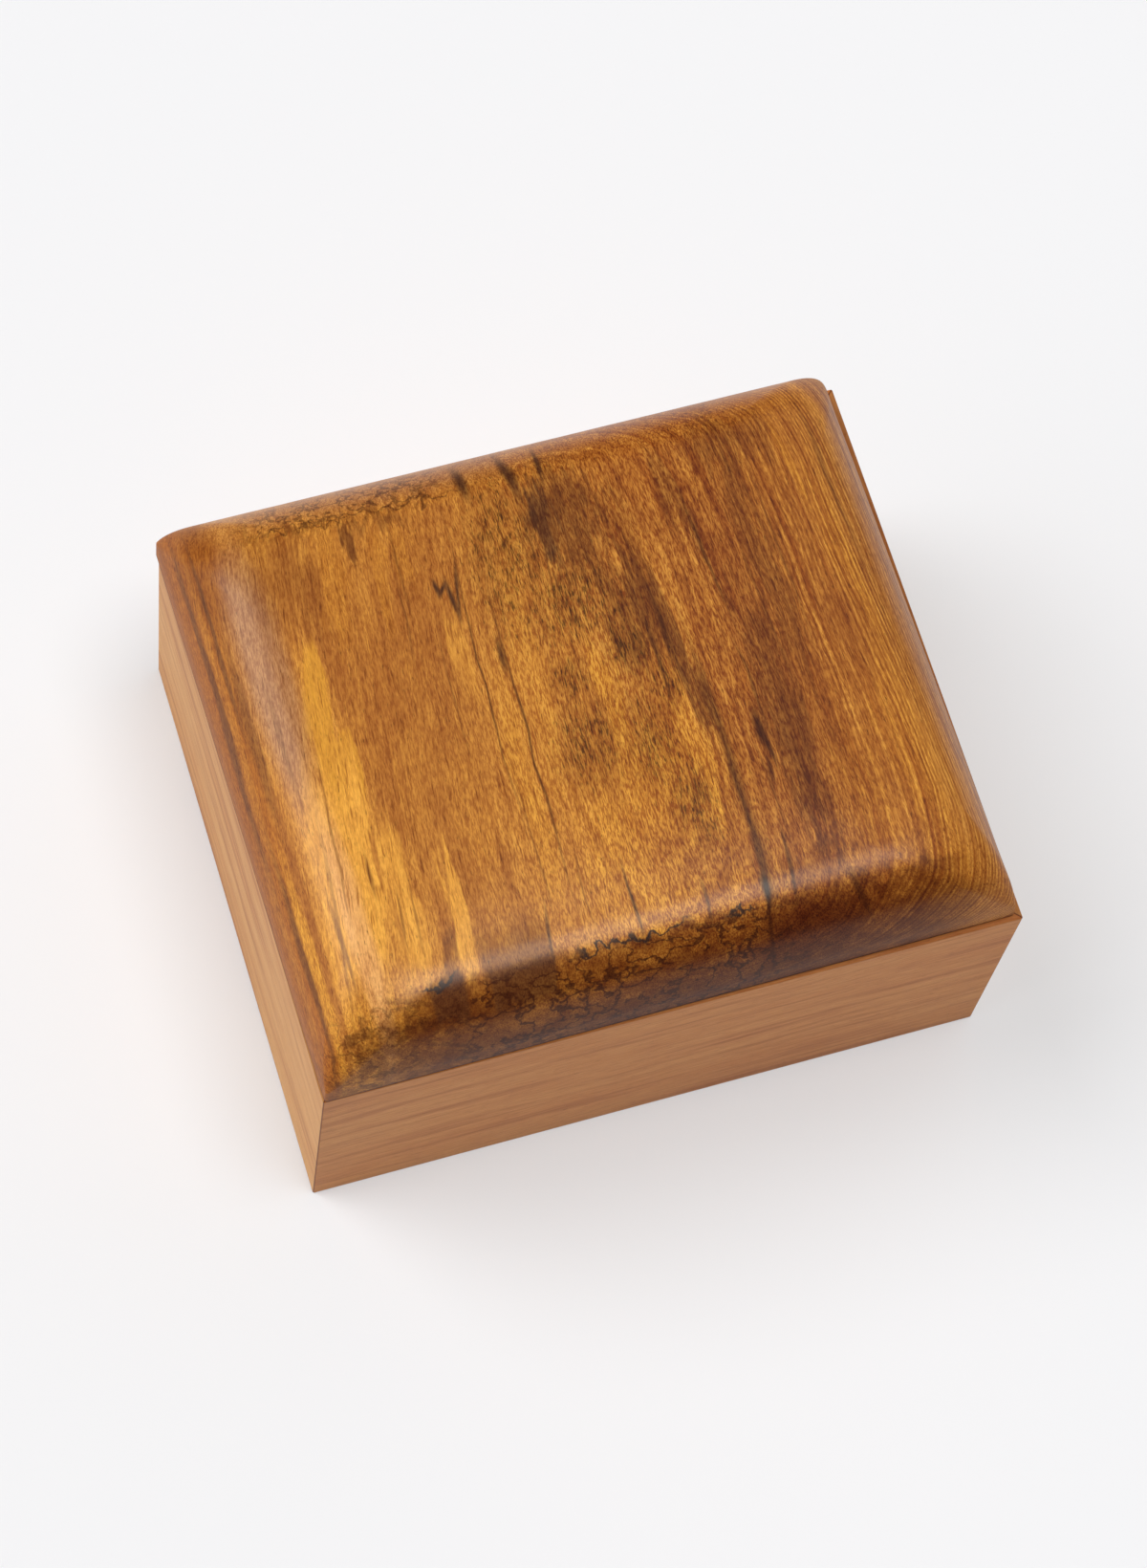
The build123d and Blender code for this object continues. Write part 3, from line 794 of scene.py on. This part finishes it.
# %% [markdown]
# ## The hinges: stamped brass
# Two small butt hinges join the lid and the back wall. Brass is a metal, so its colour is in its
# reflection: metallic at 1 and a golden base colour. Sheet brass that was rolled, stamped and then
# rubbed has fine straight scratches along its length, and fingers leave duller, browner patches.
# The scratches are drawn an eighth of a millimetre wide, which is coarser than real ones.

# %% Brass
brass, tree = new_material("stamped_brass_satin")
place = place_in_mm(tree)
rubbed = streaks(tree, place, (5.0, 0.12, 0.12), low=0.35, high=0.65)
tarnish = streaks(tree, place, (2.4, 2.4, 2.4), detail=4.0, low=0.48, high=0.72)
colour = layer(tree, linear("#D8AE5C"), linear("#A87C3C"), tarnish)
roughness = add(tree, "MapRange", inputs={0: rubbed, 1: 0.0, 2: 1.0, 3: 0.26, 4: 0.38})[0]
bump = add(tree, "Bump", inputs={"Strength": 0.3, "Distance": 0.01 * MM, "Height": rubbed})[0]
metal = add(tree, "BsdfPrincipled", inputs={
    "Base Color": colour, "Metallic": 1.0, "Roughness": roughness, "Normal": bump})
add(tree, "OutputMaterial", inputs={"Surface": metal[0]})
brass_nodes = [name for name in nodes if name.startswith("hinge_")]
dress(brass, *brass_nodes)
print(len(brass_nodes), "brass pieces")

# %% [markdown]
# ## The felt
# Dice are rolled on a lining of pressed wool felt, glued to the bottom panel, and a second sheet
# lines the lid. Felt is cut with a blade, so its edge is square, but soft: the fibres at the corner
# spring back. Its face is nearly flat with slight hills. It could be dropped as simulated cloth, but
# a sheet that is glued down all over has nowhere to fall, so it is modelled. Each sheet starts as a
# box of its cut size. Edit mode rounds its corners, Remesh turns it into small even faces and takes
# the sharpness off its edges, and Displace raises the hills with a cloud texture, on its open face.

# %% One sheet of felt
FACE_SIZE = 0.55       # mm, the remeshed faces
HILL_SPACING = 9       # mm
HILL_HEIGHT = 0.3      # mm
HILL_LEVEL = 0.75      # the cloud's grey that stays in place, so that most of the face sinks
FLAT_RIM = 1.0         # mm round the open face that has no hills
FACE_DEPTH = 0.2       # mm: what lies within this of the open face belongs to it

hills = bpy.data.textures.new("felt_hills", type="CLOUDS")
hills.noise_scale = HILL_SPACING * MM
hills.noise_depth = 2


def felt_sheet(name, node, corner, face_up, body):
    """A sheet of felt in the place of a CAD node, with corners of that radius in mm."""
    low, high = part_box(node)
    middle = [(a + b) / 2 for a, b in zip(low, high)]
    size = [b - a for a, b in zip(low, high)]
    bpy.ops.object.select_all(action="DESELECT")
    bpy.ops.mesh.primitive_cube_add(size=1, location=middle, scale=size)
    sheet = bpy.context.object
    sheet.name = sheet.data.name = name
    bpy.ops.object.transform_apply(location=True, rotation=True, scale=True)

    bpy.ops.object.mode_set(mode="EDIT")
    bpy.ops.mesh.select_mode(type="EDGE")
    bpy.ops.mesh.select_all(action="DESELECT")
    bpy.ops.object.mode_set(mode="OBJECT")
    for edge in sheet.data.edges:
        first, second = (sheet.data.vertices[v].co for v in edge.vertices)
        edge.select = abs(first.z - second.z) > size[2] / 2
    bpy.ops.object.mode_set(mode="EDIT")
    bpy.ops.mesh.bevel(offset=corner * MM, segments=5)
    bpy.ops.object.mode_set(mode="OBJECT")

    remesh = sheet.modifiers.new("even_faces", "REMESH")
    remesh.mode = "VOXEL"
    remesh.voxel_size = FACE_SIZE * MM
    bpy.ops.object.modifier_apply(modifier=remesh.name)

    face = sheet.vertex_groups.new(name="open_face")
    inner = []
    for vertex in sheet.data.vertices:
        from_face = high[2] - vertex.co.z if face_up else vertex.co.z - low[2]
        from_rim = min(size[axis] / 2 - abs(vertex.co[axis] - middle[axis]) for axis in (0, 1))
        if from_face < FACE_DEPTH * MM and from_rim > FLAT_RIM * MM:
            inner.append(vertex.index)
    face.add(inner, 1.0, "REPLACE")
    raised = sheet.modifiers.new("hills", "DISPLACE")
    raised.texture = hills
    raised.texture_coords = "LOCAL"
    raised.vertex_group = face.name
    raised.strength = HILL_HEIGHT * MM
    raised.mid_level = HILL_LEVEL
    bpy.ops.object.modifier_apply(modifier=raised.name)
    bpy.ops.object.shade_smooth()

    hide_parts(node)
    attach(sheet, body)
    print(name, [round(s / MM, 2) for s in size], "mm,", len(sheet.data.polygons), "faces")
    return sheet


floor_lining = felt_sheet("felt_on_the_bottom", "floor_felt", 0.6, True, "box")
lid_lining = felt_sheet("felt_in_the_lid", "lid_felt", 2.7, False, "lid")

# %% [markdown]
# ### What felt looks like
# Wool fibres a few hundredths of a millimetre thick lie in every direction, matted together. They
# are too fine to show here, so the mat is drawn with tufts of about a third of a millimetre. Light
# that grazes the loose ends makes a pale sheen, and nothing shines, so roughness is nearly 1.

# %% Dyed wool felt
felt, tree = new_material("pressed_wool_felt_dyed_green")
place = place_in_mm(tree)
matted = wander(tree, place, (0.5, 0.5, 0.5), (0.7, 0.7, 0.7))
tufts = streaks(tree, matted, (0.3, 0.3, 0.3), detail=3.0, low=0.36, high=0.64)
clumps = streaks(tree, place, (3.2, 3.2, 3.2), detail=3.0)
loose = streaks(tree, matted, (0.16, 1.1, 0.5), detail=1.0, low=0.60, high=0.70)
colour = layer(tree, linear("#2C5A41"), linear("#1E4431"), clumps)
colour = layer(tree, colour, linear("#3A6F52"), tufts, 0.45)
colour = layer(tree, colour, linear("#6B957C"), loose, 0.35)
bump = add(tree, "Bump", inputs={"Strength": 0.6, "Distance": 0.12 * MM, "Height": tufts})[0]
wool = add(tree, "BsdfPrincipled", inputs={
    "Base Color": colour, "Roughness": 0.95, "Specular IOR Level": 0.15, "Sheen Weight": 0.35,
    "Sheen Roughness": 0.5, "Sheen Tint": linear("#B7CDBF"), "Normal": bump})
add(tree, "OutputMaterial", inputs={"Surface": wool[0]})
dress(felt, floor_lining.name, lid_lining.name)
print("felt on", floor_lining.name, "and", lid_lining.name)
